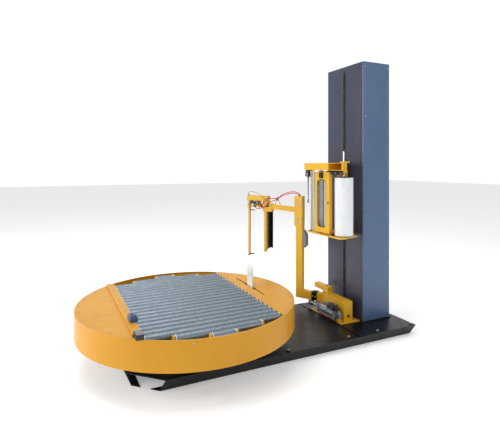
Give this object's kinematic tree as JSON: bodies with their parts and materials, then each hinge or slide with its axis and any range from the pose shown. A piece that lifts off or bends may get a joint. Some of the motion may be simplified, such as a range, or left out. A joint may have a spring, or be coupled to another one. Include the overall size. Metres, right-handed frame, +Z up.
{
  "type": "turntable pallet wrapper",
  "caption": "Pallet stretch wrapper: a roller-topped turntable, a mast with a film carriage, and a swing arm with a film wiper and cutter on one low base.",
  "frame": {"origin": "on the underside of the base at floor level, on the turntable's axis", "axes": "+X along the base from the turntable to the mast, +Z up, +Y towards the machine's rear side"},
  "size_m": [2.705, 1.7544, 2.38],
  "materials": {
    "yellow_paint": "semi-gloss",
    "frame_paint": "satin",
    "black_paint": "gloss",
    "mast_paint": "satin",
    "motor_paint": "satin",
    "zinc_roller": "zinc plated",
    "bare_steel": "machined",
    "cast_iron": "cast",
    "chrome": "polished",
    "aluminium": "satin anodised",
    "white_plastic": "smooth",
    "white_roller": "smooth",
    "grey_rubber": "ground",
    "black_rubber": "matte",
    "wheel_rubber": "cast polyurethane",
    "stretch_film": "wound film"
  },
  "bodies": {
    "base": {"table_base": "black_paint", "mast_base": "black_paint", "center_bearing": "cast_iron", "table_gearmotor": "motor_paint", "wheel_brackets": "frame_paint", "mast_column": "mast_paint", "mast_covers": "mast_paint", "mast_inner_frame": "frame_paint", "lift_gearmotor": "motor_paint", "pivot_housing": "yellow_paint"},
    "table": {"table_skirt": "yellow_paint", "table_frame": "frame_paint", "deck_left": "yellow_paint", "deck_right": "yellow_paint", "roller_brackets": "yellow_paint", "ring_gear": "bare_steel"},
    "pinion": {"drive_pinion": "bare_steel"},
    "clamp": {"clamp_paddle": "white_plastic"},
    "drive_sprocket": {"drive_sprocket": "bare_steel"},
    "idler_sprocket": {"idler_sprocket": "bare_steel"},
    "carriage": {"carriage_frame": "yellow_paint", "carriage_top_housing": "yellow_paint", "carriage_bottom_plate": "yellow_paint"},
    "door": {"carriage_door": "yellow_paint"},
    "film_roll": {"film_roll": "stretch_film"},
    "top_mandrel": {"top_mandrel": "chrome"},
    "stretch_roller_front": {"stretch_roller_front": "white_roller"},
    "stretch_roller_rear": {"stretch_roller_rear": "grey_rubber"},
    "exit_roller": {"exit_roller": "white_roller"},
    "arm": {"swing_arm": "yellow_paint", "top_arm": "yellow_paint"},
    "cylinder": {"arm_cylinder": "aluminium"},
    "cylinder_rod": {"cylinder_rod": "chrome"},
    "wiper": {"wiper_panel": "black_rubber"},
    "cutter": {"cutter_rod": "yellow_paint"},
    "roller_01": {"roller_01": "zinc_roller"},
    "roller_02": {"roller_02": "zinc_roller"},
    "roller_03": {"roller_03": "zinc_roller"},
    "roller_04": {"roller_04": "zinc_roller"},
    "roller_05": {"roller_05": "zinc_roller"},
    "roller_06": {"roller_06": "zinc_roller"},
    "roller_07": {"roller_07": "zinc_roller"},
    "roller_08": {"roller_08": "zinc_roller"},
    "roller_09": {"roller_09": "zinc_roller"},
    "roller_10": {"roller_10": "zinc_roller"},
    "roller_11": {"roller_11": "zinc_roller"},
    "roller_12": {"roller_12": "zinc_roller"},
    "roller_13": {"roller_13": "zinc_roller"},
    "roller_14": {"roller_14": "zinc_roller"},
    "roller_15": {"roller_15": "zinc_roller"},
    "roller_16": {"roller_16": "zinc_roller"},
    "roller_17": {"roller_17": "zinc_roller"},
    "roller_18": {"roller_18": "zinc_roller"},
    "roller_19": {"roller_19": "zinc_roller"},
    "roller_20": {"roller_20": "zinc_roller"},
    "roller_21": {"roller_21": "zinc_roller"},
    "roller_22": {"roller_22": "zinc_roller"},
    "support_wheel_01": {"support_wheel_01": "wheel_rubber"},
    "support_wheel_02": {"support_wheel_02": "wheel_rubber"},
    "support_wheel_03": {"support_wheel_03": "wheel_rubber"}
  },
  "joints": [
    {"name": "table_spin", "type": "hinge", "parent": "base", "child": "table", "pos_m": [0, 0, 0.3], "axis": [0, 0, 1], "continuous": true},
    {"name": "pinion_spin", "type": "hinge", "parent": "base", "child": "pinion", "pos_m": [0.315, 0, 0.2], "axis": [0, 0, 1], "continuous": true},
    {"name": "clamp_fold", "type": "hinge", "parent": "table", "child": "clamp", "pos_m": [0.57, 0.08, 0.362], "axis": [1, 0, 0], "range_deg": [0, 90]},
    {"name": "carriage_lift", "type": "slide", "parent": "base", "child": "carriage", "axis": [0, 0, 1], "range_m": [-0.4, 0.8]},
    {"name": "drive_sprocket_spin", "type": "hinge", "parent": "base", "child": "drive_sprocket", "pos_m": [1.69, -0.003, 0.19], "axis": [0, 1, 0], "range_deg": [-700, 1300]},
    {"name": "idler_sprocket_spin", "type": "hinge", "parent": "base", "child": "idler_sprocket", "pos_m": [1.69, -0.003, 2.3], "axis": [0, 1, 0], "range_deg": [-700, 1300]},
    {"name": "door_hinge", "type": "hinge", "parent": "carriage", "child": "door", "pos_m": [1.238, 0.106, 1.13], "axis": [0, 0, 1], "range_deg": [-95, 0]},
    {"name": "film_roll_spin", "type": "hinge", "parent": "carriage", "child": "film_roll", "pos_m": [1.329, -0.228, 1.1], "axis": [0, 0, 1], "continuous": true},
    {"name": "mandrel_lift", "type": "slide", "parent": "carriage", "child": "top_mandrel", "axis": [0, 0, 1], "range_m": [0, 0.032]},
    {"name": "stretch_front_spin", "type": "hinge", "parent": "carriage", "child": "stretch_roller_front", "pos_m": [1.3, 0.074, 1.1], "axis": [0, 0, 1], "continuous": true},
    {"name": "stretch_rear_spin", "type": "hinge", "parent": "carriage", "child": "stretch_roller_rear", "pos_m": [1.345, 0.014, 1.1], "axis": [0, 0, 1], "continuous": true},
    {"name": "exit_roller_spin", "type": "hinge", "parent": "carriage", "child": "exit_roller", "pos_m": [1.24, 0.158, 1.1], "axis": [0, 0, 1], "continuous": true},
    {"name": "arm_swing", "type": "hinge", "parent": "base", "child": "arm", "pos_m": [1.4, 0.13, 0.2], "axis": [0, 0, 1], "range_deg": [0, 45]},
    {"name": "cylinder_swing", "type": "hinge", "parent": "base", "child": "cylinder", "pos_m": [1.308, -0.185, 0.14], "axis": [0, 0, 1], "range_deg": [0, 12]},
    {"name": "rod_slide", "type": "slide", "parent": "cylinder", "child": "cylinder_rod", "axis": [0, 1, 0], "range_m": [-0.096, 0]},
    {"name": "wiper_swing", "type": "hinge", "parent": "arm", "child": "wiper", "pos_m": [1.056, 0.72583, 0.8], "axis": [0, 0, 1], "range_deg": [-20, 20], "stiffness_Nm_per_rad": 4},
    {"name": "cutter_slide", "type": "slide", "parent": "arm", "child": "cutter", "axis": [-0.5, 0.866, 0], "range_m": [0, 0.06]},
    {"name": "roller_01_spin", "type": "hinge", "parent": "table", "child": "roller_01", "pos_m": [0, -0.7455, 0.397], "axis": [1, 0, 0], "continuous": true},
    {"name": "roller_02_spin", "type": "hinge", "parent": "table", "child": "roller_02", "pos_m": [0, -0.6745, 0.397], "axis": [1, 0, 0], "continuous": true},
    {"name": "roller_03_spin", "type": "hinge", "parent": "table", "child": "roller_03", "pos_m": [0, -0.6035, 0.397], "axis": [1, 0, 0], "continuous": true},
    {"name": "roller_04_spin", "type": "hinge", "parent": "table", "child": "roller_04", "pos_m": [0, -0.5325, 0.397], "axis": [1, 0, 0], "continuous": true},
    {"name": "roller_05_spin", "type": "hinge", "parent": "table", "child": "roller_05", "pos_m": [0, -0.4615, 0.397], "axis": [1, 0, 0], "continuous": true},
    {"name": "roller_06_spin", "type": "hinge", "parent": "table", "child": "roller_06", "pos_m": [0, -0.3905, 0.397], "axis": [1, 0, 0], "continuous": true},
    {"name": "roller_07_spin", "type": "hinge", "parent": "table", "child": "roller_07", "pos_m": [0, -0.3195, 0.397], "axis": [1, 0, 0], "continuous": true},
    {"name": "roller_08_spin", "type": "hinge", "parent": "table", "child": "roller_08", "pos_m": [0, -0.2485, 0.397], "axis": [1, 0, 0], "continuous": true},
    {"name": "roller_09_spin", "type": "hinge", "parent": "table", "child": "roller_09", "pos_m": [0, -0.1775, 0.397], "axis": [1, 0, 0], "continuous": true},
    {"name": "roller_10_spin", "type": "hinge", "parent": "table", "child": "roller_10", "pos_m": [0, -0.1065, 0.397], "axis": [1, 0, 0], "continuous": true},
    {"name": "roller_11_spin", "type": "hinge", "parent": "table", "child": "roller_11", "pos_m": [0, -0.0355, 0.397], "axis": [1, 0, 0], "continuous": true},
    {"name": "roller_12_spin", "type": "hinge", "parent": "table", "child": "roller_12", "pos_m": [0, 0.0355, 0.397], "axis": [1, 0, 0], "continuous": true},
    {"name": "roller_13_spin", "type": "hinge", "parent": "table", "child": "roller_13", "pos_m": [0, 0.1065, 0.397], "axis": [1, 0, 0], "continuous": true},
    {"name": "roller_14_spin", "type": "hinge", "parent": "table", "child": "roller_14", "pos_m": [0, 0.1775, 0.397], "axis": [1, 0, 0], "continuous": true},
    {"name": "roller_15_spin", "type": "hinge", "parent": "table", "child": "roller_15", "pos_m": [0, 0.2485, 0.397], "axis": [1, 0, 0], "continuous": true},
    {"name": "roller_16_spin", "type": "hinge", "parent": "table", "child": "roller_16", "pos_m": [0, 0.3195, 0.397], "axis": [1, 0, 0], "continuous": true},
    {"name": "roller_17_spin", "type": "hinge", "parent": "table", "child": "roller_17", "pos_m": [0, 0.3905, 0.397], "axis": [1, 0, 0], "continuous": true},
    {"name": "roller_18_spin", "type": "hinge", "parent": "table", "child": "roller_18", "pos_m": [0, 0.4615, 0.397], "axis": [1, 0, 0], "continuous": true},
    {"name": "roller_19_spin", "type": "hinge", "parent": "table", "child": "roller_19", "pos_m": [0, 0.5325, 0.397], "axis": [1, 0, 0], "continuous": true},
    {"name": "roller_20_spin", "type": "hinge", "parent": "table", "child": "roller_20", "pos_m": [0, 0.6035, 0.397], "axis": [1, 0, 0], "continuous": true},
    {"name": "roller_21_spin", "type": "hinge", "parent": "table", "child": "roller_21", "pos_m": [0, 0.6745, 0.397], "axis": [1, 0, 0], "continuous": true},
    {"name": "roller_22_spin", "type": "hinge", "parent": "table", "child": "roller_22", "pos_m": [0, 0.7455, 0.397], "axis": [1, 0, 0], "continuous": true},
    {"name": "support_wheel_01_spin", "type": "hinge", "parent": "base", "child": "support_wheel_01", "pos_m": [0.215, 0.37239, 0.165], "axis": [0.5, 0.866, 0], "continuous": true},
    {"name": "support_wheel_02_spin", "type": "hinge", "parent": "base", "child": "support_wheel_02", "pos_m": [-0.43, 0, 0.165], "axis": [-1, 0, 0], "continuous": true},
    {"name": "support_wheel_03_spin", "type": "hinge", "parent": "base", "child": "support_wheel_03", "pos_m": [0.215, -0.37239, 0.165], "axis": [0.5, -0.866, 0], "continuous": true}
  ],
  "couplings": [
    {"joint": "pinion_spin", "follows": "table_spin", "ratio": -6},
    {"joint": "drive_sprocket_spin", "follows": "carriage_lift", "rad_per_m": 26.316},
    {"joint": "idler_sprocket_spin", "follows": "carriage_lift", "rad_per_m": 26.316},
    {"joint": "stretch_front_spin", "follows": "stretch_rear_spin", "ratio": -2.3333},
    {"joint": "cylinder_swing", "follows": "arm_swing", "ratio": 0.265},
    {"joint": "rod_slide", "follows": "arm_swing", "m_per_rad": -0.1197},
    {"joint": "support_wheel_01_spin", "follows": "table_spin", "ratio": -6.9355},
    {"joint": "support_wheel_02_spin", "follows": "table_spin", "ratio": -6.9355},
    {"joint": "support_wheel_03_spin", "follows": "table_spin", "ratio": -6.9355},
    {"joint": "roller_01_spin", "follows": "roller_11_spin", "ratio": 1},
    {"joint": "roller_02_spin", "follows": "roller_11_spin", "ratio": 1},
    {"joint": "roller_03_spin", "follows": "roller_11_spin", "ratio": 1},
    {"joint": "roller_04_spin", "follows": "roller_11_spin", "ratio": 1},
    {"joint": "roller_05_spin", "follows": "roller_11_spin", "ratio": 1},
    {"joint": "roller_06_spin", "follows": "roller_11_spin", "ratio": 1},
    {"joint": "roller_07_spin", "follows": "roller_11_spin", "ratio": 1},
    {"joint": "roller_08_spin", "follows": "roller_11_spin", "ratio": 1},
    {"joint": "roller_09_spin", "follows": "roller_11_spin", "ratio": 1},
    {"joint": "roller_10_spin", "follows": "roller_11_spin", "ratio": 1},
    {"joint": "roller_12_spin", "follows": "roller_11_spin", "ratio": 1},
    {"joint": "roller_13_spin", "follows": "roller_11_spin", "ratio": 1},
    {"joint": "roller_14_spin", "follows": "roller_11_spin", "ratio": 1},
    {"joint": "roller_15_spin", "follows": "roller_11_spin", "ratio": 1},
    {"joint": "roller_16_spin", "follows": "roller_11_spin", "ratio": 1},
    {"joint": "roller_17_spin", "follows": "roller_11_spin", "ratio": 1},
    {"joint": "roller_18_spin", "follows": "roller_11_spin", "ratio": 1},
    {"joint": "roller_19_spin", "follows": "roller_11_spin", "ratio": 1},
    {"joint": "roller_20_spin", "follows": "roller_11_spin", "ratio": 1},
    {"joint": "roller_21_spin", "follows": "roller_11_spin", "ratio": 1},
    {"joint": "roller_22_spin", "follows": "roller_11_spin", "ratio": 1}
  ]
}
